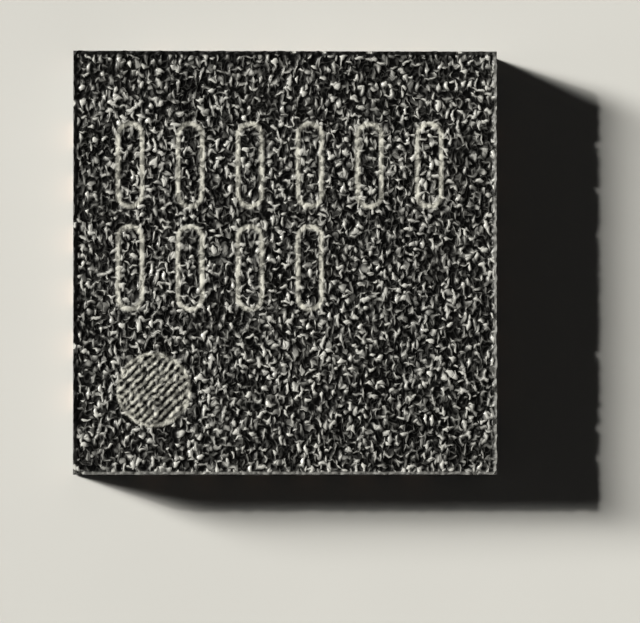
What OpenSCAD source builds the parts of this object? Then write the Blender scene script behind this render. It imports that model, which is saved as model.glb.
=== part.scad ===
// Quad flat no-lead integrated circuit package, sawn from a moulded strip.
// The origin is at the centre of the seating plane: terminals at z = 0, marked face up at +Z.
// Terminal 1 is beside the index mark in the (-X, -Y) corner, and the numbers run counter-clockwise.

/* [Package] */
// Side of the square package, from saw cut to saw cut
body_side = 4; // [3.9:0.05:4.5]
// Height of the package above the seating plane, up to the lip round its marked face
body_h = 0.85; // [0.8:0.01:1]
// Height of the moulding's underside above the seating plane
standoff = 0.02; // [0.01:0.005:0.05]

/* [Terminals] */
// Terminals along each side
leads_per_side = 6; // [2:1:6]
// Spacing of the terminals
lead_pitch = 0.5; // [0.4:0.01:0.52]
// Width of a terminal's exposed foot
lead_w = 0.25; // [0.18:0.01:0.3]
// Length of a terminal's exposed foot
lead_len = 0.4; // [0.3:0.01:0.45]
// Width of the thin wing along each flank of a terminal
wing_w = 0.045; // [0.02:0.005:0.05]
// Length of the thin tip ahead of a terminal's foot
tip_len = 0.1; // [0.05:0.01:0.14]
// Distance of the wings from the saw cut
wing_setback = 0.08; // [0.05:0.01:0.12]

/* [Lead frame] */
// Thickness of the copper sheet
frame_t = 0.2; // [0.15:0.01:0.24]
// Depth etched away from below under wings, tips, rim and tie bars
etch_t = 0.1; // [0.06:0.01:0.12]
// Least gap etched between a tie bar and a terminal
etch_gap = 0.1; // [0.08:0.01:0.14]
// Distance from a terminal's foot to the exposed paddle
paddle_gap = 0.35; // [0.32:0.01:0.45]
// Width of the thin rim round the exposed paddle
rim_w = 0.1; // [0.05:0.01:0.12]
// Chamfer on the paddle's corner nearest terminal 1
paddle_chamfer = 0.35; // [0.2:0.01:0.5]
// Radius that the etching leaves on the paddle's corners
paddle_corner_r = 0.06; // [0.03:0.01:0.1]
// Width of the four tie bars
tie_bar_w = 0.15; // [0.1:0.01:0.2]

/* [Die] */
// Length of the silicon die along X
die_l = 1.7; // [1.5:0.05:2.1]
// Width of the silicon die along Y
die_w = 1.5; // [1.4:0.05:2.1]
// Thickness of the silicon die
die_t = 0.25; // [0.15:0.01:0.28]
// Thickness of the adhesive under the die
attach_t = 0.025; // [0.015:0.005:0.04]
// Spread of the adhesive beyond the die
attach_spread = 0.08; // [0.05:0.01:0.12]
// Height that the adhesive climbs up the die's sides
attach_climb = 0.07; // [0.03:0.01:0.12]
// Thickness of the adhesive's upper lip
attach_lip = 0.01; // [0.005:0.005:0.02]

/* [Bond wires] */
// Diameter of a bond wire
wire_d = 0.025; // [0.018:0.001:0.03]
// Diameter of the ball squashed on a bond pad
ball_d = 0.06; // [0.05:0.005:0.075]
// Height of the squashed ball
ball_h = 0.015; // [0.01:0.001:0.02]
// Spacing of the bond pads along a die edge
pad_pitch = 0.22; // [0.12:0.01:0.24]
// Distance of the bond pads from the die edge
pad_inset = 0.06; // [0.05:0.01:0.1]
// Height of the wire loops above the die
loop_h = 0.15; // [0.1:0.01:0.18]
// Distance from a ball to the top of its loop
loop_bend = 0.14; // [0.1:0.01:0.2]
// Angle at which a wire comes down on its terminal
landing_angle = 38; // [30:1:45]
// Distance of the stitch's end from the saw cut
stitch_setback = 0.24; // [0.2:0.01:0.28]
// Length of the stitch pressed flat on the terminal
stitch_len = 0.05; // [0.03:0.005:0.07]
// Width of the stitch at its end
stitch_w = 0.045; // [0.035:0.005:0.06]
// Thickness of the stitch at its end
stitch_t = 0.006; // [0.004:0.001:0.01]

/* [Marked face] */
// Height of the lip that the saw leaves round the marked face
lip_h = 0.02; // [0.01:0.005:0.04]
// Width of that lip at its foot
lip_w = 0.03; // [0.02:0.005:0.05]
// Width of the lip's flat crest at the saw cut
crest_w = 0.006; // [0.004:0.001:0.01]
// Diameter of the hatched index mark
index_d = 0.7; // [0.4:0.05:0.9]
// Distance of the mark's centre from the package's left side
index_x = 0.76; // [0.6:0.01:1]
// Distance of the mark's centre from the package's front side
index_y = 0.8; // [0.6:0.01:1]
// Spacing of the hatch strokes
hatch_pitch = 0.057; // [0.05:0.001:0.1]
// Width of a hatch stroke
hatch_w = 0.03; // [0.02:0.001:0.045]
// Angle of the hatch strokes
hatch_angle = 45; // [0:1:90]
// Depth of the hatch strokes
hatch_depth = 0.012; // [0.008:0.001:0.03]

/* [Hidden] */
eps = 0.01;
curve_fn = 48;
wire_sides = 6;
neck_h = 0.008;
rise_steps = 3;
fall_steps = 4;
lead_count = 4 * leads_per_side;
paddle_side = body_side - 2 * (lead_len + paddle_gap);
die_z = frame_t + attach_t;
die_top = die_z + die_t;
loop_top = die_top + loop_h;
mould_h = body_h - standoff;
face_z = body_h - lip_h;

function two_digits(n) = n < 10 ? str("0", n) : str(n);
function lead_name(n) = str("lead_", two_digits(n));
function wire_name(n) = str("bond_wire_", two_digits(n));

// Side of the package that terminal n is on: 0 front, 1 right, 2 back, 3 left
function side_of(n) = floor((n - 1) / leads_per_side);

// Place of terminal n along its side, in pitches from the side's middle
function place_of(n) = (n - 1) % leads_per_side - (leads_per_side - 1) / 2;

// Half the die's extent towards the given side
function die_half(side) = (side % 2 == 0 ? die_w : die_l) / 2;

// Lead frame

// Two crossed strips along the package's diagonals, between two heights
module diagonal_strips(width, low, high) {
    for (turn = [45, 135])
        rotate(turn)
            translate([-body_side, -width / 2, low])
                cube([2 * body_side, width, high - low]);
}

// Plan of a bar that runs inwards from y = 0 and has a round inner end
module round_ended(width, length) {
    translate([-width / 2, 0])
        square([width, length - width / 2]);
    translate([0, length - width / 2])
        circle(d = width, $fn = curve_fn);
}

// One terminal at the middle of the front side: a full-thickness foot under a thin winged top
module lead_bar() {
    wing_plan_w = lead_w + 2 * wing_w;
    linear_extrude(frame_t)
        round_ended(lead_w, lead_len);
    translate([0, wing_setback, etch_t])
        linear_extrude(frame_t - etch_t)
            round_ended(wing_plan_w, lead_len + tip_len - wing_setback);
}

// Terminal n, cut back where a tie bar passes it
module lead(n) {
    color("darkgoldenrod")
        rotate(90 * side_of(n))
            difference() {
                translate([place_of(n) * lead_pitch, -body_side / 2, 0])
                    lead_bar();
                diagonal_strips(tie_bar_w + 2 * etch_gap, -eps, frame_t + eps);
            }
}

// Plan of the paddle, grown by the given width, with the corner nearest terminal 1 cut off
module paddle_plan(grow) {
    half = paddle_side / 2 - paddle_corner_r;
    cut = paddle_chamfer - paddle_corner_r * (2 - sqrt(2));
    offset(r = paddle_corner_r + grow, $fn = curve_fn)
        polygon([
            [-half + cut, -half],
            [half, -half],
            [half, half],
            [-half, half],
            [-half, -half + cut]
        ]);
}

// Exposed paddle with its thin rim and the tie bars that held it in the strip
module die_paddle() {
    color("goldenrod") {
        linear_extrude(frame_t)
            paddle_plan(0);
        translate([0, 0, etch_t])
            linear_extrude(frame_t - etch_t)
                paddle_plan(rim_w);
        intersection() {
            diagonal_strips(tie_bar_w, etch_t, frame_t);
            translate([-body_side / 2, -body_side / 2, 0])
                cube([body_side, body_side, frame_t]);
        }
    }
}

// Die and adhesive

module silicon_die() {
    color("slategray")
        translate([-die_l / 2, -die_w / 2, die_z])
            cube([die_l, die_w, die_t]);
}

// Rounded slab of adhesive that reaches the given distance beyond the die
module adhesive_slab(spread) {
    for (x = [-1, 1], y = [-1, 1])
        translate([x * die_l / 2, y * die_w / 2, 0])
            cylinder(r = spread, h = attach_lip, $fn = 16);
}

// Adhesive as squeezed out round the die, with the die's own space still in it
module adhesive_mound() {
    translate([0, 0, frame_t])
        hull() {
            adhesive_slab(attach_spread);
            translate([0, 0, attach_t + attach_climb - attach_lip])
                adhesive_slab(attach_lip);
        }
}

module die_attach() {
    color("lightgray")
        difference() {
            adhesive_mound();
            silicon_die();
        }
}

// Bond wires

// Point of a cubic curve with control points p, for t from 0 to 1
function cubic(p, t) =
    pow(1 - t, 3) * p[0] + 3 * pow(1 - t, 2) * t * p[1] + 3 * (1 - t) * t * t * p[2] + pow(t, 3) * p[3];

// Direction of the same curve
function cubic_slope(p, t) =
    pow(1 - t, 2) * (p[1] - p[0]) + 2 * (1 - t) * t * (p[2] - p[1]) + t * t * (p[3] - p[2]);

// A station is [distance from the ball, height, tilt of the wire, half width, half thickness]
function ball_stations() = [
    [0, die_top, 90, 0.4 * ball_d, 0.4 * ball_d],
    [0, die_top + ball_h / 2, 90, ball_d / 2, ball_d / 2],
    [0, die_top + ball_h, 90, 0.35 * ball_d, 0.35 * ball_d],
    [0, die_top + ball_h + neck_h, 90, wire_d / 2, wire_d / 2]
];

// Quarter ellipse from the neck up to the top of the loop
function rise_stations() =
    let (start = die_top + ball_h + neck_h, rise = loop_top - start)
    [for (k = [1 : rise_steps])
        let (a = 90 * k / rise_steps)
        [loop_bend * (1 - cos(a)), start + rise * sin(a), atan2(rise * cos(a), loop_bend * sin(a)),
            wire_d / 2, wire_d / 2]];

// Smooth fall from the top of the loop to the heel of the stitch
function fall_stations(heel) =
    let (
        drop_run = (heel - loop_bend) * 0.3,
        landing = [heel, frame_t + wire_d / 2],
        path = [
            [loop_bend, loop_top],
            [loop_bend + 0.45 * (heel - loop_bend), loop_top],
            landing + drop_run * [-1, tan(landing_angle)],
            landing
        ]
    )
    [for (k = [1 : fall_steps])
        let (p = cubic(path, k / fall_steps), d = cubic_slope(path, k / fall_steps))
        [p[0], p[1], atan2(d[1], d[0]), wire_d / 2, wire_d / 2]];

// Height of a station's centre when the flat under its section lies on the terminal
function on_lead(half_t) = frame_t + half_t * sin(360 / wire_sides);

// The stitch widens and thins to its end, flat on the terminal
function stitch_stations(reach) =
    let (mid_w = (wire_d + stitch_w) / 4, mid_t = (wire_d + stitch_t) / 4)
    [
        [reach - stitch_len / 2, on_lead(mid_t), 0, mid_w, mid_t],
        [reach, on_lead(stitch_t / 2), 0, stitch_w / 2, stitch_t / 2]
    ];

// Corners of the section at one station
function ring(s) = [
    for (k = [0 : wire_sides - 1])
        let (a = 360 * k / wire_sides)
        [s[0] - s[4] * sin(a) * sin(s[2]), s[3] * cos(a), s[1] + s[4] * sin(a) * cos(s[2])]
];

// Wire of the given reach, from a ball at the origin along +X
module wire_solid(reach) {
    stations = concat(ball_stations(), rise_stations(), fall_stations(reach - stitch_len), stitch_stations(reach));
    last = len(stations) - 1;
    corners = [for (s = stations) each ring(s)];
    sides = [
        for (j = [0 : last - 1], k = [0 : wire_sides - 1])
            let (a = j * wire_sides + k, b = j * wire_sides + (k + 1) % wire_sides)
            each [[a, a + wire_sides, b], [b, a + wire_sides, b + wire_sides]]
    ];
    foot = [for (k = [0 : wire_sides - 1]) k];
    tail = [for (k = [wire_sides - 1 : -1 : 0]) last * wire_sides + k];
    polyhedron(corners, concat([foot], sides, [tail]));
}

// Wire from the bond pad of terminal n to its stitch
module bond_wire(n) {
    pad = [place_of(n) * pad_pitch, pad_inset - die_half(side_of(n))];
    stitch = [place_of(n) * lead_pitch, stitch_setback - body_side / 2];
    run = stitch - pad;
    color("gold")
        rotate(90 * side_of(n))
            translate(pad)
                rotate(atan2(run[1], run[0]))
                    wire_solid(norm(run));
}

// Moulding

// What the sloping lip leaves open above the marked face, and on up past its crest
module face_tray() {
    floor_side = body_side - 2 * lip_w;
    slope_run = lip_w - crest_w;
    translate([0, 0, face_z])
        linear_extrude(2 * lip_h, scale = (floor_side + 4 * slope_run) / floor_side)
            square(floor_side, center = true);
}

// Parallel strokes of the index mark, as deep as they are cut into the marked face
module index_hatch() {
    strokes = ceil(index_d / hatch_pitch / 2);
    translate([index_x - body_side / 2, index_y - body_side / 2, face_z - hatch_depth])
        intersection() {
            cylinder(d = index_d, h = 2 * hatch_depth, $fn = curve_fn);
            rotate(hatch_angle)
                for (k = [-strokes : strokes])
                    translate([-index_d, k * hatch_pitch - hatch_w / 2, 0])
                        cube([2 * index_d, hatch_w, 2 * hatch_depth]);
        }
}

// Moulding compound round everything, open where copper reaches the underside and the saw cuts
module mould_body() {
    color("dimgray")
        difference() {
            translate([-body_side / 2, -body_side / 2, standoff])
                cube([body_side, body_side, mould_h]);
            die_paddle();
            adhesive_mound();
            silicon_die();
            for (n = [1 : lead_count]) {
                lead(n);
                bond_wire(n);
            }
            face_tray();
            index_hatch();
        }
}

mould_body();
die_paddle();
die_attach();
silicon_die();
for (n = [1 : lead_count]) {
    lead(n);
    bond_wire(n);
}
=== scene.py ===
import math

import bmesh
import bpy
from mathutils import Matrix, Vector

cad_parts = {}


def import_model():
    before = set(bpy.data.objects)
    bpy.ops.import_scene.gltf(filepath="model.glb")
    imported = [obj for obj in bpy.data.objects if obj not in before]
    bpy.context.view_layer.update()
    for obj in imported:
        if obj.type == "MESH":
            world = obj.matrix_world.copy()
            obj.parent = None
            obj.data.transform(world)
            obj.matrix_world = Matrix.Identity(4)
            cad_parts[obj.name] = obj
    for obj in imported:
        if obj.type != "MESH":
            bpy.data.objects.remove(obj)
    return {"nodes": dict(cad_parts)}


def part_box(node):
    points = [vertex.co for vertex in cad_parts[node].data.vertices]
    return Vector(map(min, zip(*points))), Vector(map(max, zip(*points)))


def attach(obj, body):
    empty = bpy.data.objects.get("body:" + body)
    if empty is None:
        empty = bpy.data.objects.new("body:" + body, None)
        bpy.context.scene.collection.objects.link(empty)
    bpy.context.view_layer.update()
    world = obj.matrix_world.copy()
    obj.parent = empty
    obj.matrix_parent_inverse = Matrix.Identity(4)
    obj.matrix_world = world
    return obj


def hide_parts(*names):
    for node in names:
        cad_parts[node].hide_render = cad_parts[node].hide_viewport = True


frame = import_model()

bl_info = {
    "name": "Flat No-Lead Chip Package",
    "version": (1, 0, 0),
    "blender": (4, 5, 0),
    "location": "View3D > Sidebar > Chip Package",
    "description": "Finishes a sawn flat no-lead chip package and sets it on a studio floor",
    "category": "Object",
}

# Metres in a millimetre
MM = 0.001

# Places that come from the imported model, in metres
MOULD_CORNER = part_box("mould_body")[1]
HALF_SIDE = MOULD_CORNER.x
TOP_Z = MOULD_CORNER.z

# Axis and direction that the front, right, back and left sides face
SIDES = ((1, -1), (0, 1), (1, 1), (0, -1))

# Make-up of the spark-eroded grain, whose lengths are multiples of the grain size
GRAIN_STRETCH = 0.75
SEED_STEP = 7.3
SWIRL_DENSITY = 0.8
SWIRL_REACH = 1.2
FLAKE_DENSITY = 1.12
FLAKE_STRETCHES = ((1.6, 0.75, 1.0), (0.75, 1.6, 1.0))
FLAKE_LEVELLING = 0.5
FLAKE_CHANCE = 0.13
LUMP_BEND = 0.5
NEIGHBOUR_STEP = 0.9
NEIGHBOUR_SHARE = 0.38

# Noise value at which a flake starts to stand up or to turn pale, partly filler colour and partly a painted
# glint, and at which it is at its most
HEIGHT_RANGE = (0.43, 0.82)
TONE_RANGE = (0.535, 0.80)
TONE_POWER = 2.3

# Distances from a gap over which a flake rises and turns pale, and the shares of both that the gap leaves,
# its tone held down there as painted shade
GAP_SLOPE = 0.2
GAP_HEIGHT = 0.6
GAP_PAINTED_SHADE_REACH = 0.1
GAP_PAINTED_SHADE_TONE = 0.3

# Thin threads between the flakes
THREAD_SHIFT = (31.0, 17.0, 5.0)
THREAD_DENSITY = 0.7
THREAD_BEND = 0.9
THREAD_REACH = 0.05
THREAD_HEIGHT = 0.25
THREAD_TONE = 0.05

# Laser strokes: points of a corner and of the disc's outline, softness of an edge, and how far it wobbles
CORNER_STEPS = 8
RING_STEPS = 48
STROKE_BLUR = 0.006 * MM
ROW_WOBBLE = 0.026 * MM
HATCH_WOBBLE = 0.055 * MM

# Share of the grain that a stroke levels, and distances past the disc's edge between which the grain calms
MARK_LEVELLING = 0.6
CALM_RANGE = (0.02 * MM, -0.03 * MM)

# Noise values between which a stroke changes from most faded to whole, and what is left of it at each
ROW_FADE = (0.35, 0.50, 0.55, 1.0)
HATCH_FADE = (0.30, 0.55, 0.35, 1.0)

# Noise values between which the rim wanders, chips break out of it and its lip turns from worn to whole
WAVE_RANGE = (0.35, 0.65)
CHIP_RANGE = (0.66, 0.70)
WEAR_RANGE = (0.62, 0.40)

# Shares of a worn and of a whole lip's height, and how far along the rim a corner is worn back
LIP_LEFT = (0.3, 1.0)
CORNER_REACH = 0.04 * MM

# Places across the lip between which its painted colour comes in, where it is painted shade and where it is a
# painted highlight
PAINTED_SHADE_LIP_RANGE = (0.05, 0.45)
PAINTED_HIGHLIGHT_LIP_RANGE = (0.35, 0.75)

# Millimetres to either side of a corner over which the lip's painted shade turns into its painted highlight
PAINTED_LIP_TURN = 0.4

# Roughness that a laser stroke and the lip add to the marked face
DULLING = 0.35

# Bounds of the marked face and the film side: share of the height, and upward part of the normal
MARKED_FROM = 0.9
FILM_TO = 0.1
MARKED_FACING = 0.3
FILM_FACING = -0.5

# Gaps below which two points or heights count as one
WELD_GAP = 1e-8
ON_PLANE = 1e-7
LEVEL_GAP = 1e-6

# Sines of the angles above the horizon between which its glow and a mirrored backdrop give way to dark
GLOW_RANGE = (0.02, 0.18)
BACKDROP_RANGE = (0.05, 0.30)

# Sockets of a Mix node for its two values and its result, which bear the same names for every type
MIX_SOCKETS = {"VECTOR": (4, 5, 1), "RGBA": (6, 7, 2)}


def size(name, description, default):
    """A length in metres that the user can change."""
    return bpy.props.FloatProperty(
        name=name, description=description, default=default, subtype="DISTANCE", unit="LENGTH", precision=6
    )


def angle(name, description, degrees):
    """An angle that the user can change."""
    return bpy.props.FloatProperty(
        name=name, description=description, default=math.radians(degrees), subtype="ANGLE", unit="ROTATION"
    )


def colour(name, description, default):
    """A linear colour that the user can change."""
    return bpy.props.FloatVectorProperty(
        name=name, description=description, default=default, size=3, min=0.0, max=1.0, subtype="COLOR"
    )


def number(name, description, default, **limits):
    """A plain number that the user can change."""
    return bpy.props.FloatProperty(name=name, description=description, default=default, **limits)


def count(name, description, default, **limits):
    """A whole number that the user can change."""
    return bpy.props.IntProperty(name=name, description=description, default=default, **limits)


class MouldingSettings(bpy.types.PropertyGroup):
    """Grain, rim and colours of the moulding"""

    grain_size: size("Grain Size", "About the size of a flake of the spark-eroded grain", 0.051 * MM)
    grain_depth: size("Grain Depth", "Height from valley to peak of the grain", 0.020 * MM)
    grain_seed: count("Grain Seed", "Pattern of the grain", 4, min=0)
    grid_count: count("Grid Count", "Squares along each side of the marked face", 296, min=16, max=300)
    wall_top: size("Wall Top", "Drop from the marked face to where the plain walls start", 0.05 * MM)
    join_drop: size("Join Drop", "Drop from the marked face to the join with the packed solid", 0.15 * MM)
    lip_height: size("Lip Height", "Height of the lip that the saw leaves along the rim", 0.010 * MM)
    lip_width: size("Lip Width", "Width of the lip along the rim", 0.050 * MM)
    rim_waviness: size("Rim Waviness", "How far the rim wanders in from the saw cut", 0.012 * MM)
    rim_reach: size("Rim Reach", "Depth in from the rim over which its waviness dies out", 0.060 * MM)
    corner_wear: size("Corner Wear", "How far the four corners of the rim are worn back", 0.018 * MM)
    chip_depth: size("Chip Depth", "Depth of the small chips along the rim", 0.03 * MM)
    chip_reach: size("Chip Reach", "Reach of the small chips in from the rim", 0.035 * MM)
    compound: colour("Compound", "Colour of the black moulding compound", (0.001, 0.001, 0.001))
    # On the marked face this colour also serves as the painted glints on the raised flakes
    filler: colour("Filler", "Colour of the silica grains in the compound", (0.55, 0.55, 0.53))
    # The lip's two colours are painted light: a painted highlight on the right and front sides, where the
    # lip's slope faces the key light, and painted shade on the left and back sides, where it faces away
    lip_painted_highlight: colour("Lip Painted Highlight", "Colour of the lip at the right and front sides", (0.15, 0.15, 0.145))
    lip_painted_shade: colour("Lip Painted Shade", "Colour of the lip at the left and back sides", (0.004, 0.004, 0.004))
    # Chips are pale partly from their fresh fracture and partly as a painted highlight where their broken
    # faces catch the light
    fracture_and_painted_highlight: colour("Fracture And Painted Highlight", "Colour of the compound where a chip broke out", (0.34, 0.34, 0.325))
    sawn: colour("Sawn Compound", "Colour of the compound where the saw cut it", (0.036, 0.036, 0.035))
    cut_filler: colour("Cut Filler", "Colour of the silica grains that the saw cut", (0.26, 0.26, 0.25))


class MarkingSettings(bpy.types.PropertyGroup):
    """Two rows of plain zeros and the hatched index mark"""

    char_height: size("Character Height", "Height of a zero, between stroke centres", 0.78 * MM)
    char_width: size("Character Width", "Width of a zero, between stroke centres", 0.225 * MM)
    char_round: size("Character Rounding", "Corner radius of a zero", 0.11 * MM)
    char_pitch: size("Character Pitch", "Spacing of the zeros along a row", 0.565 * MM)
    stroke_width: size("Stroke Width", "Width of a laser stroke in the rows", 0.039 * MM)
    upper_count: count("Upper Row", "Zeros in the upper row", 6, min=0)
    lower_count: count("Lower Row", "Zeros in the lower row", 4, min=0)
    row_left: size("Row Left", "Centre of the first zero, from the left side", 0.535 * MM)
    upper_drop: size("Upper Row Drop", "Middle of the upper row, from the back side", 1.08 * MM)
    lower_drop: size("Lower Row Drop", "Middle of the lower row, from the back side", 2.05 * MM)
    index_diameter: size("Index Diameter", "Diameter of the hatched index mark", 0.70 * MM)
    index_left: size("Index Left", "Centre of the index mark, from the left side", 0.76 * MM)
    index_front: size("Index Front", "Centre of the index mark, from the front side", 0.80 * MM)
    hatch_pitch: size("Hatch Pitch", "Spacing of the hatch strokes", 0.057 * MM)
    hatch_width: size("Hatch Width", "Width of a stroke in the index mark", 0.024 * MM)
    hatch_angle: angle("Hatch Angle", "Angle of the hatch strokes", 45.0)
    mark_depth: size("Mark Depth", "Depth to which the laser sinks a stroke", 0.006 * MM)
    marked: colour("Marked Compound", "Colour of the compound where the laser burnt it", (0.62, 0.615, 0.56))


class LeadFrameSettings(bpy.types.PropertyGroup):
    """Finish of the terminals and the paddle"""

    tin: colour("Tin", "Colour of the matt tin plating", (0.62, 0.61, 0.58))
    copper: colour("Copper", "Colour of the sawn copper", (0.35, 0.242, 0.187))
    tarnish: colour("Tarnish", "Colour of the tarnish on the sawn copper", (0.21, 0.142, 0.112))
    cut_band: size("Cut Band", "Depth of bare metal in from a saw cut", 0.004 * MM)
    tin_top: size("Tin Top", "Height up a saw cut to which the tin of the foot wraps", 0.010 * MM)


class DieSettings(bpy.types.PropertyGroup):
    """Finish of the die, its adhesive and its wires"""

    silicon: colour("Silicon", "Colour of the die", (0.17, 0.18, 0.23))
    adhesive: colour("Adhesive", "Colour of the silver-filled adhesive", (0.55, 0.55, 0.54))
    gold: colour("Gold", "Colour of the bond wires", (0.95, 0.68, 0.26))


class StageSettings(bpy.types.PropertyGroup):
    """Floor, lamps and camera"""

    floor: colour("Floor", "Colour of the floor", (0.68, 0.68, 0.67))
    floor_radius: size("Floor Radius", "Radius of the floor disc", 140.0 * MM)
    key_strength: number("Key Strength", "Strength of the key bank", 6.4)
    key_colour: colour("Key Colour", "Colour of the key bank", (1.0, 0.975, 0.90))
    key_rise: angle("Key Rise", "Angle of the key bank above the floor", 28.4)
    key_turn: angle("Key Turn", "Direction of the key bank, turned back from the left", 19.0)
    key_size: angle("Key Size", "Angle that each lamp of the key bank spans", 11.0)
    key_rows: count("Key Rows", "Rows of lamps in the key bank", 2, min=1)
    key_row_step: angle("Key Row Step", "Angle between the rows of the key bank", 9.0)
    key_columns: count("Key Columns", "Lamps in each row", 2, min=1)
    key_column_step: angle("Key Column Step", "Angle between the lamps of a row", 2.5)
    edge_share: number("Edge Share", "Share of the key light from one small lamp", 0.15, min=0.0, max=1.0)
    edge_rise: angle("Edge Rise", "Angle of the small lamp above the floor", 37.4)
    edge_size: angle("Edge Size", "Angle that the small lamp spans", 1.5)
    world_zenith: colour("Zenith", "Light from straight above", (0.012, 0.0115, 0.011))
    world_horizon: colour("Horizon", "Light from the horizon", (0.60, 0.575, 0.54))
    backdrop: colour("Backdrop", "Colour behind the floor as the camera sees it", (0.70, 0.685, 0.62))
    camera_height: size("Camera Height", "Height of the camera above the floor", 60.0 * MM)
    camera_x: size("Camera X", "Place of the camera along X", -1.5 * MM)
    camera_y: size("Camera Y", "Place of the camera along Y", -2.0 * MM)
    aim_x: size("Aim X", "Place along X that the camera aims at", 0.3265 * MM)
    aim_y: size("Aim Y", "Place along Y that the camera aims at", -0.4617 * MM)
    lens: number("Lens", "Focal length in millimetres", 353.2, min=1.0)


# Node building


def add(tree, kind, inputs=None, **settings):
    """A node with its settings, and its inputs given as values or as sockets to link."""
    made = tree.nodes.new(kind)
    for name, value in settings.items():
        setattr(made, name, value)
    for key, value in (inputs or {}).items():
        give(tree, made.inputs[key], value)
    return made


def give(tree, socket, value):
    """Links a socket to another one, or sets its value."""
    if isinstance(value, bpy.types.NodeSocket):
        tree.links.new(value, socket)
    else:
        socket.default_value = value


def maths(tree, operation, *values, clamp=False):
    """Result of a math node on numbers or sockets."""
    made = add(tree, "ShaderNodeMath", dict(enumerate(values)), operation=operation, use_clamp=clamp)
    return made.outputs[0]


def product(tree, *values):
    """Product of two or more numbers or sockets."""
    result = values[0]
    for value in values[1:]:
        result = maths(tree, "MULTIPLY", result, value)
    return result


def minus(tree, first, second):
    """The first of two numbers or sockets less the second."""
    return maths(tree, "SUBTRACT", first, second)


def vectors(tree, operation, *values):
    """Result of a vector math node on vectors or sockets."""
    made = add(tree, "ShaderNodeVectorMath", dict(enumerate(values)), operation=operation)
    return made.outputs[0]


def vector(tree, **parts):
    """Vector of numbers or sockets for X, Y and Z."""
    return add(tree, "ShaderNodeCombineXYZ", parts).outputs[0]


def split(tree, whole):
    """X, Y and Z of a vector."""
    return add(tree, "ShaderNodeSeparateXYZ", {"Vector": whole}).outputs


def ramp(tree, value, low, high, to_low=0.0, to_high=1.0, smooth=True):
    """Value remapped from one range to another, and held at its ends."""
    made = add(
        tree, "ShaderNodeMapRange",
        {"Value": value, "From Min": low, "From Max": high, "To Min": to_low, "To Max": to_high},
        interpolation_type="SMOOTHSTEP" if smooth else "LINEAR",
    )
    return made.outputs["Result"]


def noise(tree, place, scale, detail=2.0, roughness=0.5, distortion=0.0):
    """Value of a noise pattern from nought to one."""
    made = add(
        tree, "ShaderNodeTexNoise",
        {"Vector": place, "Scale": scale, "Detail": detail, "Roughness": roughness, "Distortion": distortion},
    )
    return made.outputs[0]


def centred(tree, value):
    """A value from nought to one, moved to lie about nought."""
    return minus(tree, value, 0.5)


def blend(tree, kind, share, first, second):
    """Result of a Mix node on two values of one kind."""
    low, high, result = MIX_SOCKETS[kind]
    made = add(tree, "ShaderNodeMix", {"Factor": share, low: first, high: second}, data_type=kind)
    return made.outputs[result]


def mix(tree, share, first, second):
    """Colour mixed between two colours or sockets."""
    shades = [
        value if isinstance(value, bpy.types.NodeSocket) else (*value, 1.0) for value in (first, second)
    ]
    return blend(tree, "RGBA", share, *shades)


def patchy(tree, share, shade, darkest):
    """A colour that falls towards black where the share falls to nought."""
    return mix(tree, share, [darkest * part for part in shade], shade)


def new_group(name, kind, inputs, outputs):
    """A node group with its sockets, the outputs of its first node and the inputs of its last."""
    tree = bpy.data.node_groups.new(name, kind)
    for direction, sockets in (("INPUT", inputs), ("OUTPUT", outputs)):
        for socket_name, socket_type in sockets:
            tree.interface.new_socket(socket_name, in_out=direction, socket_type="NodeSocket" + socket_type)
    start = tree.nodes.new("NodeGroupInput")
    end = tree.nodes.new("NodeGroupOutput")
    return tree, start.outputs, end.inputs


def group_node(tree, group, inputs):
    """Outputs of one use of a shader node group."""
    return add(tree, "ShaderNodeGroup", inputs, node_tree=group).outputs


def object_place(tree):
    """Object coordinates in millimetres."""
    place = add(tree, "ShaderNodeTexCoord").outputs["Object"]
    return vectors(tree, "MULTIPLY", place, (1 / MM,) * 3)


def attribute(tree, name):
    """Value that the geometry tree stored under a name."""
    return add(tree, "ShaderNodeAttribute", attribute_name=name).outputs["Fac"]


def bump(tree, height, strength, distance):
    """Normal bumped by a height."""
    made = add(tree, "ShaderNodeBump", {"Height": height, "Strength": strength, "Distance": distance})
    return made.outputs["Normal"]


def new_material(name):
    """An empty node material, with its surface shader ready to link."""
    material = bpy.data.materials.new(name)
    material.use_nodes = True
    tree = material.node_tree
    tree.nodes.clear()
    shader = add(tree, "ShaderNodeBsdfPrincipled")
    add(tree, "ShaderNodeOutputMaterial", {"Surface": shader.outputs[0]})
    return material, tree, shader


def put(tree, shader, **inputs):
    """Sets or links the shader's inputs by name, with underscores for spaces."""
    for name, value in inputs.items():
        give(tree, shader.inputs[name.replace("_", " ")], value)


# Grain


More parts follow.
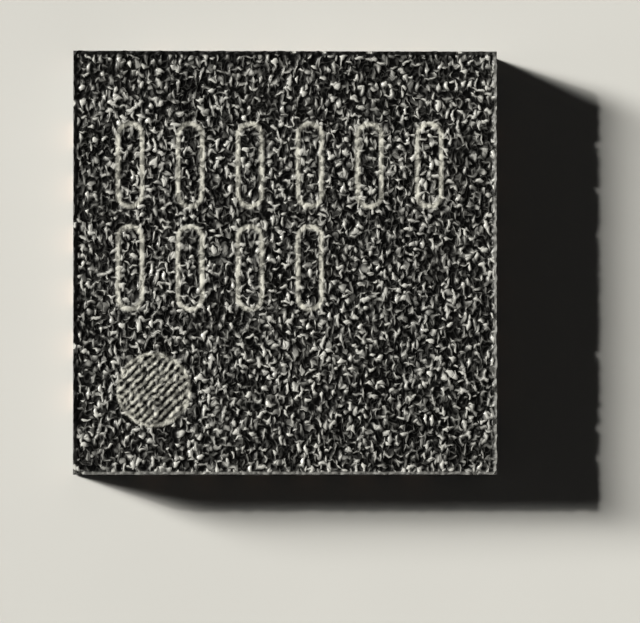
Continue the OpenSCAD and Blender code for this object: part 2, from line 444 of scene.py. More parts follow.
def grain_parts(tree, flat_place, grain_size, seed):
    """Threads and flakes of the spark-eroded grain, the same in a geometry tree and in a material."""
    scale = maths(tree, "DIVIDE", 1.0, grain_size)
    scaled = add(
        tree, "ShaderNodeVectorMath", {"Vector": flat_place, "Scale": scale}, operation="SCALE"
    ).outputs["Vector"]
    stretched = vectors(tree, "MULTIPLY", scaled, (1.0, GRAIN_STRETCH, 1.0))
    place = vectors(tree, "ADD", stretched, vector(tree, Z=product(tree, seed, SEED_STEP)))
    colours = add(tree, "ShaderNodeTexNoise", {"Vector": place, "Scale": SWIRL_DENSITY, "Detail": 1.0})
    swirl = vectors(tree, "SUBTRACT", colours.outputs["Color"], (0.5, 0.5, 0.5))
    bent = vectors(tree, "ADD", place, vectors(tree, "MULTIPLY", swirl, (SWIRL_REACH, SWIRL_REACH, 0.0)))
    shifted = vectors(tree, "ADD", place, THREAD_SHIFT)
    threads = centred(tree, noise(tree, shifted, THREAD_DENSITY, detail=0.0, distortion=THREAD_BEND))
    thread = ramp(tree, maths(tree, "ABSOLUTE", threads), THREAD_REACH, 0.0)
    layers = [flake_layer(tree, vectors(tree, "MULTIPLY", bent, stretch)) for stretch in FLAKE_STRETCHES]
    return thread, layers


def grain_height(tree, thread, layers):
    """Height of the grain, from nought in a valley to one."""
    height = product(tree, thread, THREAD_HEIGHT)
    for stand, gap in layers:
        rise = ramp(tree, stand, *HEIGHT_RANGE, smooth=False)
        flake = product(tree, ramp(tree, gap, 0.0, GAP_SLOPE, GAP_HEIGHT, 1.0), rise)
        height = maths(tree, "MAXIMUM", height, flake)
    return height


def grain_tone_with_painted_glint(tree, thread, layers):
    """Tone of the grain, from nought where it is black to one: partly the filler's colour and partly painted
    glints on the raised flakes, with painted shade in the gaps between them.
    """
    tone = product(tree, thread, THREAD_TONE)
    for stand, gap in layers:
        pale = maths(tree, "POWER", ramp(tree, stand, *TONE_RANGE, smooth=False), TONE_POWER)
        flake = product(tree, ramp(tree, gap, 0.0, GAP_PAINTED_SHADE_REACH, GAP_PAINTED_SHADE_TONE, 1.0), pale)
        tone = maths(tree, "MAXIMUM", tone, flake)
    return tone


def flake_layer(tree, place):
    """How far each flake of a layer stands up, and the distance from the gap beside it."""
    flakes = add(tree, "ShaderNodeTexVoronoi", {"Vector": place, "Scale": FLAKE_DENSITY})
    gap = add(
        tree, "ShaderNodeTexVoronoi", {"Vector": place, "Scale": FLAKE_DENSITY}, feature="DISTANCE_TO_EDGE"
    ).outputs["Distance"]
    levelled = blend(tree, "VECTOR", FLAKE_LEVELLING, place, flakes.outputs["Position"])
    chance = centred(tree, split(tree, flakes.outputs["Color"])["X"])
    stand = maths(tree, "ADD", standing_lumps(tree, levelled), product(tree, chance, FLAKE_CHANCE))
    return stand, gap


def standing_lumps(tree, place):
    """Noise less a share of its surroundings, so that lumps stand at even distances."""
    lumps = noise(tree, place, scale=1.0, detail=0.0, distortion=LUMP_BEND)
    for x, y in ((1, 0), (-1, 0), (0, 1), (0, -1)):
        beside = vectors(tree, "ADD", place, (x * NEIGHBOUR_STEP, y * NEIGHBOUR_STEP, 0.0))
        around = centred(tree, noise(tree, beside, scale=1.0, detail=0.0, distortion=LUMP_BEND))
        lumps = minus(tree, lumps, product(tree, around, NEIGHBOUR_SHARE))
    return lumps


# Effects shared by several materials


def filler_speckle():
    """Light filler grains of mixed size scattered through the compound."""
    name = "Filler Speckle"
    if name in bpy.data.node_groups:
        return bpy.data.node_groups[name]
    tree, given, out = new_group(
        name, "ShaderNodeTree",
        [("Vector", "Vector"), ("Grain", "Float"), ("Share", "Float"), ("Softness", "Float")],
        [("Mask", "Float"), ("Tone", "Float")],
    )
    scale = maths(tree, "DIVIDE", 1.0, given["Grain"])
    cells = add(tree, "ShaderNodeTexVoronoi", {"Vector": given["Vector"], "Scale": scale})
    tone = split(tree, cells.outputs["Color"])
    reach = product(tree, tone["X"], given["Share"])
    mask = ramp(tree, cells.outputs["Distance"], maths(tree, "ADD", reach, given["Softness"]), reach)
    tree.links.new(mask, out["Mask"])
    tree.links.new(tone["Y"], out["Tone"])
    return tree


def saw_lines():
    """Fine lines that a saw blade leaves along a cut, on any of the four sides."""
    name = "Saw Lines"
    if name in bpy.data.node_groups:
        return bpy.data.node_groups[name]
    tree, given, out = new_group(
        name, "ShaderNodeTree",
        [("Vector", "Vector"), ("Spacing", "Float"), ("Bow", "Float"), ("Density", "Float")],
        [("Height", "Float"), ("Smear", "Float")],
    )
    parts = split(tree, given["Vector"])
    along = maths(tree, "ADD", parts["X"], parts["Y"])
    bow = product(tree, along, along, given["Bow"])
    rise = maths(tree, "DIVIDE", maths(tree, "ADD", parts["Z"], bow), given["Spacing"])
    place = vector(tree, X=product(tree, along, given["Density"]), Z=rise)
    tree.links.new(noise(tree, place, scale=1.0, detail=3.0, roughness=0.65), out["Height"])
    tree.links.new(noise(tree, place, scale=0.28, detail=2.0), out["Smear"])
    return tree


def filler_spots(tree, place, grain, share):
    """Outputs of the filler grains of one size, in millimetres."""
    return group_node(
        tree, filler_speckle(), {"Vector": place, "Grain": grain, "Share": share, "Softness": 0.12}
    )


def saw_marks(tree, place, spacing):
    """Outputs of the saw lines at a spacing in millimetres."""
    return group_node(
        tree, saw_lines(), {"Vector": place, "Spacing": spacing, "Bow": 0.006, "Density": 0.35}
    )


# Materials


def marked_face_material(moulding, marking):
    """Spark-eroded black compound, pale and dull where the laser marked it, with painted light: glints on the
    pale flakes and shade in their gaps, shade or a highlight on the lip by side, highlights in the chips and
    shade in the grain's valleys under the strokes.
    """
    material, tree, shader = new_material("marked_face")
    place = object_place(tree)
    flat_place = vectors(tree, "MULTIPLY", place, (1.0, 1.0, 0.0))
    thread, layers = grain_parts(tree, flat_place, moulding.grain_size / MM, float(moulding.grain_seed))
    height = grain_height(tree, thread, layers)
    calm = ramp(tree, attribute(tree, "calm"), 0.0, 1.0, to_low=1.0, to_high=0.3)
    # The pale flakes are partly filler colour and partly painted glints, darkened at their gaps with painted
    # shade
    tone = product(tree, grain_tone_with_painted_glint(tree, thread, layers), calm)
    base = mix(tree, tone, moulding.compound, moulding.filler)
    lip = attribute(tree, "lip")
    parts = split(tree, place)
    # Share from the left and back sides, where the lip gets painted shade, to the right and front sides,
    # where it gets a painted highlight
    side = ramp(tree, minus(tree, parts["X"], parts["Y"]), -PAINTED_LIP_TURN, PAINTED_LIP_TURN)
    low, high = (
        ramp(tree, side, 0.0, 1.0, dark, pale, smooth=False)
        for dark, pale in zip(PAINTED_SHADE_LIP_RANGE, PAINTED_HIGHLIGHT_LIP_RANGE)
    )
    # The lip is painted in shade or in a highlight by side, over the grain's colour
    base = mix(tree, ramp(tree, lip, low, high), base, mix(tree, side, moulding.lip_painted_shade, moulding.lip_painted_highlight))
    mark = attribute(tree, "mark")
    # The laser mark's colour, darker in the grain's valleys as painted shade
    burnt_with_painted_valley_shade = patchy(tree, ramp(tree, height, low=0.05, high=0.5), marking.marked, darkest=0.35)
    base = mix(tree, mark, base, burnt_with_painted_valley_shade)
    # Chips get the fracture colour, which is partly a painted highlight
    base = mix(tree, ramp(tree, attribute(tree, "chip"), low=0.25, high=0.6), base, moulding.fracture_and_painted_highlight)
    fine = noise(tree, place, scale=42.0, detail=2.0, roughness=0.6)
    cloud = maths(tree, "ADD", noise(tree, place, scale=2.2), product(tree, fine, 0.5))
    dull = product(tree, maths(tree, "MAXIMUM", mark, lip), DULLING)
    sheen = ramp(tree, cloud, low=0.4, high=1.1, to_low=0.24, to_high=0.36)
    rough = maths(tree, "ADD", sheen, dull, clamp=True)
    put(
        tree, shader, Base_Color=base, Roughness=rough, IOR=1.5, Specular_IOR_Level=0.42,
        Normal=bump(tree, fine, strength=0.25, distance=0.004 * MM),
    )
    return material


def sawn_material(moulding):
    """Compound cut by the saw: fine level lines and filler grains cut flat."""
    material, tree, shader = new_material("sawn_compound")
    place = object_place(tree)
    lines = saw_marks(tree, place, spacing=0.012)
    base = patchy(tree, ramp(tree, lines["Smear"], low=0.35, high=0.7), moulding.sawn, darkest=0.55)
    for grain, share, strength in ((0.020, 0.5, 0.35), (0.045, 0.34, 0.5)):
        spots = filler_spots(tree, place, grain, share)
        base = mix(tree, product(tree, spots["Mask"], spots["Tone"], strength), base, moulding.cut_filler)
    cloud = maths(tree, "ADD", noise(tree, place, scale=3.0, detail=3.0), lines["Height"])
    put(
        tree, shader, Base_Color=base, IOR=1.55,
        Roughness=ramp(tree, cloud, low=0.7, high=1.3, to_low=0.38, to_high=0.62),
        Normal=bump(tree, lines["Height"], strength=0.6, distance=0.004 * MM),
    )
    return material


def film_side_material(moulding):
    """Underside of the compound, moulded flat against a film."""
    material, tree, shader = new_material("film_side")
    place = object_place(tree)
    spots = filler_spots(tree, place, grain=0.06, share=0.25)
    base = mix(tree, product(tree, spots["Mask"], 0.15), moulding.compound, moulding.filler)
    cloud = noise(tree, place, scale=8.0, detail=3.0)
    put(
        tree, shader, Base_Color=base, IOR=1.55,
        Roughness=ramp(tree, cloud, low=0.3, high=0.7, to_low=0.40, to_high=0.55),
        Normal=bump(tree, noise(tree, place, scale=60.0), strength=0.3, distance=0.002 * MM),
    )
    return material


def lead_frame_material(metal):
    """Copper with matt tin on its moulded faces and bare metal at the saw cuts."""
    material, tree, shader = new_material("tinned_copper")
    place = object_place(tree)
    parts = split(tree, place)
    reach = maths(tree, "MAXIMUM", maths(tree, "ABSOLUTE", parts["X"]), maths(tree, "ABSOLUTE", parts["Y"]))
    cut = maths(tree, "GREATER_THAN", reach, (HALF_SIDE - metal.cut_band) / MM)
    tin_top = metal.tin_top / MM
    bare = product(tree, cut, ramp(tree, parts["Z"], 0.8 * tin_top, 1.2 * tin_top))
    crystal = noise(tree, place, scale=45.0, detail=3.0, roughness=0.6)
    tin = patchy(tree, ramp(tree, crystal, low=0.3, high=0.7), metal.tin, darkest=0.8)
    lines = saw_marks(tree, place, spacing=0.006)
    copper = mix(tree, ramp(tree, lines["Height"], low=0.35, high=0.65), metal.tarnish, metal.copper)
    height = mix(tree, bare, crystal, lines["Height"])
    put(
        tree, shader, Base_Color=mix(tree, bare, tin, copper), Metallic=1.0,
        Roughness=ramp(tree, bare, 0.0, 1.0, to_low=0.48, to_high=0.66),
        Normal=bump(tree, height, strength=0.5, distance=0.003 * MM),
    )
    return material


def silicon_material(die):
    """Polished silicon, patterned in blocks."""
    material, tree, shader = new_material("silicon")
    blocks = add(
        tree, "ShaderNodeTexVoronoi", {"Vector": object_place(tree), "Scale": 7.0}, distance="CHEBYCHEV"
    )
    tone = split(tree, blocks.outputs["Color"])["X"]
    put(
        tree, shader, Base_Color=patchy(tree, tone, die.silicon, darkest=0.7), Metallic=0.4,
        Roughness=ramp(tree, tone, 0.0, 1.0, to_low=0.12, to_high=0.25),
    )
    return material


def adhesive_material(die):
    """Silver-filled adhesive."""
    material, tree, shader = new_material("silver_adhesive")
    flakes = noise(tree, object_place(tree), scale=70.0)
    base = patchy(tree, ramp(tree, flakes, low=0.35, high=0.65), die.adhesive, darkest=0.6)
    put(
        tree, shader, Base_Color=base, Metallic=0.5, Roughness=0.45,
        Normal=bump(tree, flakes, strength=0.4, distance=0.002 * MM),
    )
    return material


def gold_material(die):
    """Drawn gold wire."""
    material, tree, shader = new_material("drawn_gold")
    cloud = ramp(tree, noise(tree, object_place(tree), scale=60.0), low=0.3, high=0.7)
    put(
        tree, shader, Base_Color=patchy(tree, cloud, die.gold, darkest=0.9), Metallic=1.0,
        Roughness=ramp(tree, cloud, 0.0, 1.0, to_low=0.18, to_high=0.3),
    )
    return material


def floor_material(stage):
    """Plain pale floor."""
    material, tree, shader = new_material("pale_floor")
    cloud = ramp(tree, noise(tree, object_place(tree), scale=0.6), low=0.3, high=0.7)
    base = patchy(tree, cloud, stage.floor, darkest=0.985)
    put(tree, shader, Base_Color=base, Roughness=0.95, Specular_IOR_Level=0.0)
    return material


# Shape of the moulding


def moulding_blank(settings):
    """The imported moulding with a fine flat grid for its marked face, and plain walls down from there."""
    mesh = bmesh.new()
    mesh.from_mesh(frame["nodes"]["mould_body"].data)
    bmesh.ops.remove_doubles(mesh, verts=mesh.verts, dist=WELD_GAP)
    join_z = TOP_Z - settings.join_drop
    bmesh.ops.bisect_plane(
        mesh, geom=mesh.verts[:] + mesh.edges[:] + mesh.faces[:], dist=WELD_GAP,
        plane_co=(0, 0, join_z), plane_no=(0, 0, 1), clear_outer=True,
    )
    for face in mesh.faces:
        face.smooth = False
    rim = [v for v in mesh.verts if abs(v.co.z - join_z) < ON_PLANE and v.is_boundary]
    squares = settings.grid_count
    edge = flat_grid(mesh, squares)
    band = [mesh.verts.new((v.co.x, v.co.y, TOP_Z - settings.wall_top)) for v in edge]
    total = len(edge)
    for k in range(total):
        after = (k + 1) % total
        mesh.faces.new((edge[after], edge[k], band[k], band[after]))
    for side, (axis, sign) in enumerate(SIDES):
        ahead = Vector((-sign, 0, 0)) if axis else Vector((0, sign, 0))
        upper = [band[(side * squares + k) % total] for k in range(squares + 1)]
        lower = [v for v in rim if abs(v.co[axis] - sign * HALF_SIDE) < ON_PLANE]
        join_rows(mesh, upper, sorted(lower, key=lambda v: v.co.dot(ahead)), ahead)
    made = bpy.data.meshes.new("moulding")
    mesh.to_mesh(made)
    mesh.free()
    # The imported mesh's own normals don't suit the new faces
    if "custom_normal" in made.attributes:
        made.attributes.remove(made.attributes["custom_normal"])
    return made


def flat_grid(mesh, squares):
    """Adds a smooth square grid at the height of the marked face, and gives the ring of its outer points."""
    step = 2 * HALF_SIDE / squares
    lines = [-HALF_SIDE + step * k for k in range(squares)] + [HALF_SIDE]
    grid = [[mesh.verts.new((x, y, TOP_Z)) for x in lines] for y in lines]
    for lower, upper in zip(grid, grid[1:]):
        for k in range(squares):
            mesh.faces.new((lower[k], lower[k + 1], upper[k + 1], upper[k])).smooth = True
    ring = grid[0][:-1] + [row[-1] for row in grid[:-1]] + grid[-1][:0:-1] + [row[0] for row in grid[:0:-1]]
    for k, point in enumerate(ring):
        mesh.edges.get((point, ring[k - 1])).smooth = False
    return ring


def join_rows(mesh, upper, lower, ahead):
    """Triangles between two rows of points that run the same way, with the outside on the right."""
    high = low = 0
    while high < len(upper) - 1 or low < len(lower) - 1:
        next_high = upper[high + 1].co.dot(ahead) if high < len(upper) - 1 else math.inf
        next_low = lower[low + 1].co.dot(ahead) if low < len(lower) - 1 else math.inf
        if next_high <= next_low:
            mesh.faces.new((upper[high], lower[low], upper[high + 1]))
            high += 1
        else:
            mesh.faces.new((upper[high], lower[low], lower[low + 1]))
            low += 1


def index_centre(tree, given):
    """Centre of the index mark."""
    return vector(
        tree,
        X=minus(tree, given["Index Left"], given["Half Side"]),
        Y=minus(tree, given["Index Front"], given["Half Side"]),
    )


def line_of_points(tree, amount, start, offset):
    """Points at even steps."""
    inputs = {"Count": amount, "Start Location": start, "Offset": offset}
    return add(tree, "GeometryNodeMeshLine", inputs, mode="OFFSET").outputs[0]


def realized_lines(tree, instances):
    """Edges of the curves among the instances."""
    curves = add(tree, "GeometryNodeRealizeInstances", {"Geometry": instances}).outputs[0]
    return add(tree, "GeometryNodeCurveToMesh", {"Curve": curves}).outputs[0]


def zero_rows(tree, given):
    """Centre lines of two rows of zeros."""
    outline = add(
        tree, "GeometryNodeCurvePrimitiveQuadrilateral",
        {"Width": given["Character Width"], "Height": given["Character Height"]}, mode="RECTANGLE",
    ).outputs[0]
    zero = add(
        tree, "GeometryNodeFilletCurve",
        {"Curve": outline, "Count": CORNER_STEPS, "Radius": given["Character Rounding"]}, mode="POLY",
    ).outputs[0]
    left = minus(tree, given["Row Left"], given["Half Side"])
    pitch = vector(tree, X=given["Character Pitch"])
    rows = tree.nodes.new("GeometryNodeJoinGeometry")
    for name in ("Upper Row", "Lower Row"):
        start = vector(tree, X=left, Y=minus(tree, given["Half Side"], given[name + " Drop"]))
        places = line_of_points(tree, given[name], start, pitch)
        placed = add(tree, "GeometryNodeInstanceOnPoints", {"Points": places, "Instance": zero}).outputs[0]
        tree.links.new(placed, rows.inputs[0])
    return realized_lines(tree, rows.outputs[0])


def hatched_disc(tree, given):
    """Centre lines of the index mark's outline and of the even strokes that fill it."""
    diameter = minus(tree, given["Index Diameter"], given["Hatch Width"])
    radius = product(tree, diameter, 0.5)
    outline = add(
        tree, "GeometryNodeCurvePrimitiveCircle", {"Resolution": RING_STEPS, "Radius": radius}
    ).outputs[0]
    half_count = maths(tree, "FLOOR", maths(tree, "DIVIDE", radius, given["Hatch Pitch"]))
    amount = maths(tree, "ADD", product(tree, half_count, 2.0), 1.0)
    first = product(tree, half_count, given["Hatch Pitch"], -1.0)
    places = line_of_points(tree, amount, vector(tree, Y=first), vector(tree, Y=given["Hatch Pitch"]))
    across = split(tree, add(tree, "GeometryNodeInputPosition").outputs[0])["Y"]
    room = minus(tree, product(tree, radius, radius), product(tree, across, across))
    chord = maths(tree, "SQRT", maths(tree, "MAXIMUM", room, 0.0))
    stroke = add(tree, "GeometryNodeCurvePrimitiveLine", {"Start": (-1, 0, 0), "End": (1, 0, 0)}).outputs[0]
    placed = add(
        tree, "GeometryNodeInstanceOnPoints",
        {"Points": places, "Instance": stroke, "Scale": vector(tree, X=chord, Y=1.0, Z=1.0)},
    ).outputs[0]
    whole = tree.nodes.new("GeometryNodeJoinGeometry")
    for part in (placed, outline):
        tree.links.new(part, whole.inputs[0])
    return add(
        tree, "GeometryNodeTransform",
        {
            "Geometry": realized_lines(tree, whole.outputs[0]), "Translation": index_centre(tree, given),
            "Rotation": vector(tree, Z=given["Hatch Angle"]),
        },
    ).outputs[0]


def strokes_tree():
    """Centre lines of the laser strokes: two rows of zeros, and a hatched disc."""
    sizes = (
        "Half Side", "Character Width", "Character Height", "Character Rounding", "Character Pitch",
        "Row Left", "Upper Row Drop", "Lower Row Drop", "Index Diameter", "Index Left", "Index Front",
        "Hatch Pitch", "Hatch Width", "Hatch Angle",
    )
    tree, given, out = new_group(
        "Laser Strokes", "GeometryNodeTree",
        [(name, "Float") for name in sizes] + [("Upper Row", "Int"), ("Lower Row", "Int")],
        [("Rows", "Geometry"), ("Hatch", "Geometry")],
    )
    tree.links.new(zero_rows(tree, given), out["Rows"])
    tree.links.new(hatched_disc(tree, given), out["Hatch"])
    return tree


def stroke_mask(tree, lines, flat_place, width, wobble):
    """One inside the strokes along the lines, nought outside them."""
    inputs = {"Geometry": lines, "Sample Position": flat_place}
    near = add(tree, "GeometryNodeProximity", inputs, target_element="EDGES").outputs["Distance"]
    half = product(tree, width, 0.5)
    outer = maths(tree, "ADD", half, STROKE_BLUR)
    inner = minus(tree, half, STROKE_BLUR)
    return ramp(tree, maths(tree, "ADD", near, wobble), outer, inner)


def laser_marks(tree, given, strokes, names, flat_place, scaled):
    """One inside the uneven laser strokes, less where they have faded."""
    lines = add(tree, "GeometryNodeGroup", {name: given[name] for name in names}, node_tree=strokes)
    uneven = centred(tree, noise(tree, scaled, scale=24.0, detail=1.0))
    rows = stroke_mask(
        tree, lines.outputs["Rows"], flat_place, given["Stroke Width"], product(tree, uneven, ROW_WOBBLE)
    )
    hatch = stroke_mask(
        tree, lines.outputs["Hatch"], flat_place, given["Hatch Width"], product(tree, uneven, HATCH_WOBBLE)
    )
    faded_rows = product(tree, rows, ramp(tree, noise(tree, scaled, scale=6.0), *ROW_FADE))
    faded_hatch = product(tree, hatch, ramp(tree, noise(tree, scaled, scale=13.0), *HATCH_FADE))
    return maths(tree, "MAXIMUM", faded_rows, faded_hatch)


def to_rim(tree, given, part):
    """Distance along one axis from a point to the side of the moulding."""
    return minus(tree, given["Half Side"], maths(tree, "ABSOLUTE", part))


def rim_moves(tree, given, parts, scaled):
    """Moves along X and Y that make the rim wander and wear its corners back."""
    wave = ramp(tree, noise(tree, scaled, scale=9.0, detail=1.0), *WAVE_RANGE)
    wander = product(tree, wave, given["Rim Waviness"])
    moves = {}
    for axis, other in (("X", "Y"), ("Y", "X")):
        near_corner = ramp(tree, to_rim(tree, given, parts[other]), CORNER_REACH, 0.0)
        wear = product(tree, near_corner, given["Corner Wear"])
        near_rim = ramp(tree, to_rim(tree, given, parts[axis]), given["Rim Reach"], 0.0)
        outward = maths(tree, "SIGN", parts[axis])
        moves[axis] = product(tree, maths(tree, "ADD", wander, wear), near_rim, outward, -1.0)
    return moves


def less(tree, value, share):
    """One minus a share of a value."""
    return minus(tree, 1.0, product(tree, value, share))


def marked_face_tree(strokes):
    """Sinks the grain, the laser strokes and the chips of the rim into a flat face, and records them."""
    stroke_inputs = [
        (item.name, item.socket_type.removeprefix("NodeSocket"))
        for item in strokes.interface.items_tree
        if item.in_out == "INPUT"
    ]
    sizes = (
        "Stroke Width", "Mark Depth", "Top Height", "Grain Size", "Grain Depth", "Lip Height",
        "Lip Width", "Chip Depth", "Chip Reach", "Rim Waviness", "Rim Reach", "Corner Wear",
    )
    materials = ("Marked Material", "Sawn Material", "Film Material")
    tree, given, out = new_group(
        "Marked Face", "GeometryNodeTree",
        [
            ("Geometry", "Geometry"), ("Grain Seed", "Int"), *stroke_inputs,
            *((name, "Float") for name in sizes), *((name, "Material") for name in materials),
        ],
        [("Geometry", "Geometry")],
    )
    parts = split(tree, add(tree, "GeometryNodeInputPosition").outputs[0])
    flat_place = vector(tree, X=parts["X"], Y=parts["Y"])
    scaled = vectors(tree, "MULTIPLY", flat_place, (1 / MM,) * 3)
    grain = grain_height(tree, *grain_parts(tree, flat_place, given["Grain Size"], given["Grain Seed"]))
    mark = laser_marks(tree, given, strokes, dict(stroke_inputs), flat_place, scaled)
    from_index = add(
        tree, "ShaderNodeVectorMath", {0: flat_place, 1: index_centre(tree, given)}, operation="DISTANCE"
    ).outputs["Value"]
    beyond = minus(tree, from_index, product(tree, given["Index Diameter"], 0.5))
    calm = ramp(tree, beyond, *CALM_RANGE)
    from_rim = maths(tree, "MINIMUM", to_rim(tree, given, parts["X"]), to_rim(tree, given, parts["Y"]))
    broken = ramp(tree, noise(tree, scaled, scale=7.0, detail=0.0), *CHIP_RANGE)
    chip = product(tree, broken, ramp(tree, from_rim, given["Chip Reach"], 0.0))
    lip = ramp(tree, from_rim, given["Lip Width"], 0.0, smooth=False)
    worn = ramp(tree, noise(tree, scaled, scale=20.0, detail=1.0), *WEAR_RANGE, *LIP_LEFT)

    level = less(tree, mark, MARK_LEVELLING)
    valley = product(tree, minus(tree, 1.0, grain), given["Grain Depth"], level)
    sunk = maths(tree, "ADD", valley, product(tree, mark, given["Mark Depth"]))
    sunk = product(tree, maths(tree, "ADD", sunk, given["Lip Height"]), less(tree, lip, worn))
    sunk = maths(tree, "ADD", sunk, product(tree, chip, given["Chip Depth"]))
    moves = rim_moves(tree, given, parts, scaled)
    offset = vector(tree, Z=product(tree, sunk, -1.0), **moves)
    is_face = maths(tree, "GREATER_THAN", parts["Z"], minus(tree, given["Top Height"], LEVEL_GAP))

    geometry = given["Geometry"]
    for name, value in (("mark", mark), ("lip", lip), ("calm", calm), ("chip", chip)):
        geometry = add(
            tree, "GeometryNodeStoreNamedAttribute", {"Geometry": geometry, "Name": name, "Value": value},
            data_type="FLOAT", domain="POINT",
        ).outputs[0]
    geometry = add(
        tree, "GeometryNodeSetPosition", {"Geometry": geometry, "Selection": is_face, "Offset": offset}
    ).outputs[0]
    geometry = add(tree, "GeometryNodeRealizeInstances", {"Geometry": geometry}).outputs[0]
    facing = split(tree, add(tree, "GeometryNodeInputNormal").outputs[0])["Z"]
    high = maths(tree, "GREATER_THAN", parts["Z"], product(tree, given["Top Height"], MARKED_FROM))
    low = maths(tree, "LESS_THAN", parts["Z"], product(tree, given["Top Height"], FILM_TO))
    for selection, material in (
        (True, "Sawn Material"),
        (product(tree, high, maths(tree, "GREATER_THAN", facing, MARKED_FACING)), "Marked Material"),
        (product(tree, low, maths(tree, "LESS_THAN", facing, FILM_FACING)), "Film Material"),
    ):
        geometry = add(
            tree, "GeometryNodeSetMaterial",
            {"Geometry": geometry, "Selection": selection, "Material": given[material]},
        ).outputs[0]
    tree.links.new(geometry, out["Geometry"])
    return tree


def named_settings(*groups):
    """Values of the settings under the names that the panel shows."""
    return {
        group.bl_rna.properties[key].name: getattr(group, key)
        for group in groups
        for key in group.__annotations__
    }


def bake_modifier(piece, tree, values):
    """Runs a geometry tree on the piece with the given inputs, and keeps its result as the piece's mesh."""
    modifier = piece.modifiers.new(tree.name, "NODES")
    modifier.node_group = tree
    for item in tree.interface.items_tree:
        if item.in_out == "INPUT" and item.name != "Geometry":
            modifier[item.identifier] = values[item.name]
    graph = bpy.context.evaluated_depsgraph_get()
    result = bpy.data.meshes.new_from_object(
        piece.evaluated_get(graph), preserve_all_data_layers=True, depsgraph=graph
    )
    piece.modifiers.remove(modifier)
    piece.data = result


def finish_nodes(material, *starts):
    """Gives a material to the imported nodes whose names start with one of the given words."""
    for name, piece in frame["nodes"].items():
        if name.startswith(starts):
            piece.material_slots[0].material = material


# Operators


class CHIP_OT_moulding(bpy.types.Operator):
    """Build the moulding with its grain, its marking and its sawn sides"""

    bl_idname = "chip.moulding"
    bl_label = "Moulding"

    def execute(self, context):
        moulding = context.scene.chip_moulding
        marking = context.scene.chip_marking
        piece = bpy.data.objects.new("moulding", moulding_blank(moulding))
        context.scene.collection.objects.link(piece)
        values = named_settings(moulding, marking)
        values["Half Side"] = HALF_SIDE
        values["Top Height"] = TOP_Z
        values["Marked Material"] = marked_face_material(moulding, marking)
        values["Sawn Material"] = sawn_material(moulding)
        values["Film Material"] = film_side_material(moulding)
        bake_modifier(piece, marked_face_tree(strokes_tree()), values)
        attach(piece, "root")
        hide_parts("mould_body")
        return {"FINISHED"}


class CHIP_OT_lead_frame(bpy.types.Operator):
    """Finish the terminals and the paddle"""

    bl_idname = "chip.lead_frame"
    bl_label = "Lead Frame"

    def execute(self, context):
        finish_nodes(lead_frame_material(context.scene.chip_lead_frame), "lead_", "die_paddle")
        return {"FINISHED"}


class CHIP_OT_die(bpy.types.Operator):
    """Finish the silicon die"""

    bl_idname = "chip.die"
    bl_label = "Die"

    def execute(self, context):
        finish_nodes(silicon_material(context.scene.chip_die), "silicon_die")
        return {"FINISHED"}


class CHIP_OT_adhesive(bpy.types.Operator):
    """Finish the adhesive under the die"""

    bl_idname = "chip.adhesive"
    bl_label = "Adhesive"

    def execute(self, context):
        finish_nodes(adhesive_material(context.scene.chip_die), "die_attach")
        return {"FINISHED"}


class CHIP_OT_bond_wires(bpy.types.Operator):
    """Finish the bond wires"""

    bl_idname = "chip.bond_wires"
    bl_label = "Bond Wires"

    def execute(self, context):
        finish_nodes(gold_material(context.scene.chip_die), "bond_wire_")
        return {"FINISHED"}


class CHIP_OT_stage(bpy.types.Operator):
    """Lay the floor, hang the lamps and set up the camera"""

    bl_idname = "chip.stage"
    bl_label = "Stage"

    def execute(self, context):
        stage = context.scene.chip_stage
        floor(context, stage)
        key_bank(context, stage)
        world(context, stage)
        camera(context, stage)
        context.scene.view_settings.view_transform = "Standard"
        return {"FINISHED"}


def floor(context, stage):
    """A plain disc under the package."""
    mesh = bpy.data.meshes.new("floor")
    shape = bmesh.new()
    bmesh.ops.create_circle(shape, cap_ends=True, segments=96, radius=stage.floor_radius)
    shape.to_mesh(mesh)
    shape.free()
    mesh.materials.append(floor_material(stage))
    disc = bpy.data.objects.new("floor", mesh)
    context.scene.collection.objects.link(disc)


def key_bank(context, stage):
    """Rows of lamps like a window on the left and a little behind, and a small one that edges the shadow."""
    lamp_count = stage.key_rows * stage.key_columns
    shade = stage.key_colour
    strength = stage.key_strength * (1 - stage.edge_share) / lamp_count
    for k in range(lamp_count):
        row, column = divmod(k, stage.key_columns)
        rise = stage.key_rise + (row - (stage.key_rows - 1) / 2) * stage.key_row_step
        turn = stage.key_turn + (column - (stage.key_columns - 1) / 2) * stage.key_column_step
        hang_lamp(context, f"key_{k + 1}", shade, strength, stage.key_size, rise, turn)
    strength = stage.key_strength * stage.edge_share
    hang_lamp(context, "key_edge", shade, strength, stage.edge_size, stage.edge_rise, stage.key_turn)


def hang_lamp(context, name, shade, strength, span, rise, turn):
    """A sun lamp that stands at the given rise above the floor, and is turned back from the left."""
    lamp = bpy.data.lights.new(name, "SUN")
    lamp.energy = strength
    lamp.color = shade
    lamp.angle = span
    towards = Vector((-math.cos(turn) * math.cos(rise), math.sin(turn) * math.cos(rise), math.sin(rise)))
    holder = bpy.data.objects.new(name, lamp)
    holder.rotation_mode = "QUATERNION"
    holder.rotation_quaternion = towards.to_track_quat("Z", "Y")
    context.scene.collection.objects.link(holder)


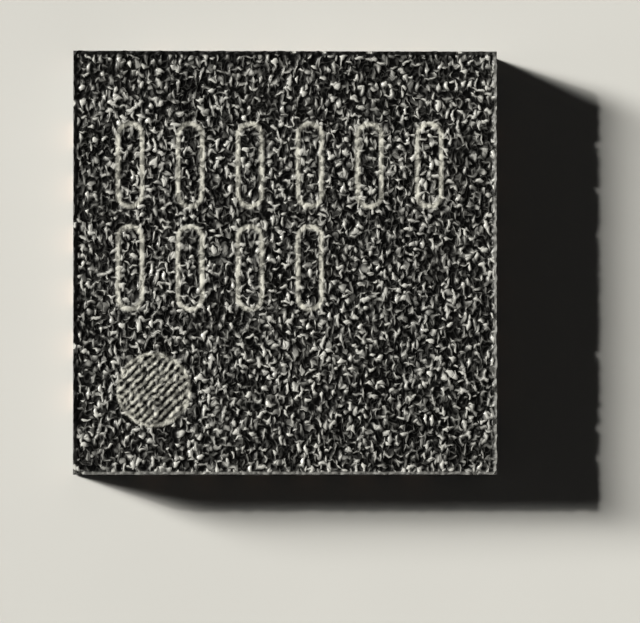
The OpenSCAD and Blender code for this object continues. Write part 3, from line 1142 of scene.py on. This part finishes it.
def world(context, stage):
    """Soft light from the horizon, and a plain backdrop for the camera and for what mirrors it."""
    surroundings = bpy.data.worlds.new("studio")
    surroundings.use_nodes = True
    tree = surroundings.node_tree
    tree.nodes.clear()
    rise = split(tree, add(tree, "ShaderNodeTexCoord").outputs["Generated"])["Z"]
    glow = mix(tree, ramp(tree, rise, *GLOW_RANGE), stage.world_horizon, stage.world_zenith)
    mirrored = mix(tree, ramp(tree, rise, *BACKDROP_RANGE), stage.backdrop, stage.world_zenith)
    path = add(tree, "ShaderNodeLightPath").outputs
    shiny = maths(tree, "MAXIMUM", path["Is Glossy Ray"], path["Is Transmission Ray"])
    shade = mix(tree, path["Is Camera Ray"], mix(tree, shiny, glow, mirrored), stage.backdrop)
    light = add(tree, "ShaderNodeBackground", {"Color": shade, "Strength": 1.0}).outputs[0]
    add(tree, "ShaderNodeOutputWorld", {"Surface": light})
    context.scene.world = surroundings


def camera(context, stage):
    """A long lens almost straight above the package."""
    lens = bpy.data.cameras.new("camera")
    lens.lens = stage.lens
    lens.clip_start = MM
    lens.clip_end = 1000 * MM
    holder = bpy.data.objects.new("camera", lens)
    holder.location = (stage.camera_x, stage.camera_y, stage.camera_height)
    back = (holder.location - Vector((stage.aim_x, stage.aim_y, TOP_Z))).normalized()
    right = Vector((0, 1, 0)).cross(back).normalized()
    turn = Matrix((right, back.cross(right), back)).transposed()
    holder.rotation_mode = "QUATERNION"
    holder.rotation_quaternion = turn.to_quaternion()
    context.scene.collection.objects.link(holder)
    context.scene.camera = holder


class CHIP_PT_panel(bpy.types.Panel):
    """Settings and steps that finish the package"""

    bl_idname = "CHIP_PT_panel"
    bl_label = "Chip Package"
    bl_space_type = "VIEW_3D"
    bl_region_type = "UI"
    bl_category = "Chip Package"

    def draw(self, context):
        for settings in SETTINGS:
            box = self.layout.box()
            group = getattr(context.scene, settings)
            box.label(text=group.bl_rna.description)
            for name in group.__annotations__:
                box.prop(group, name)
        for step in STEPS:
            self.layout.operator(step.bl_idname)


STEPS = (
    CHIP_OT_moulding, CHIP_OT_lead_frame, CHIP_OT_die, CHIP_OT_adhesive, CHIP_OT_bond_wires, CHIP_OT_stage,
)
SETTINGS = {
    "chip_moulding": MouldingSettings,
    "chip_marking": MarkingSettings,
    "chip_lead_frame": LeadFrameSettings,
    "chip_die": DieSettings,
    "chip_stage": StageSettings,
}


def register():
    """Registers the settings, the steps and the panel."""
    for group in (*SETTINGS.values(), *STEPS, CHIP_PT_panel):
        bpy.utils.register_class(group)
    for name, group in SETTINGS.items():
        setattr(bpy.types.Scene, name, bpy.props.PointerProperty(type=group))


def unregister():
    """Removes them again."""
    for name in SETTINGS:
        delattr(bpy.types.Scene, name)
    for group in (CHIP_PT_panel, *STEPS[::-1], *SETTINGS.values()):
        bpy.utils.unregister_class(group)


def main():
    """Runs each step in order."""
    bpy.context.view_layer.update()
    register()
    bpy.ops.chip.moulding()
    bpy.ops.chip.lead_frame()
    bpy.ops.chip.die()
    bpy.ops.chip.adhesive()
    bpy.ops.chip.bond_wires()
    bpy.ops.chip.stage()


if __name__ == "__main__":
    main()
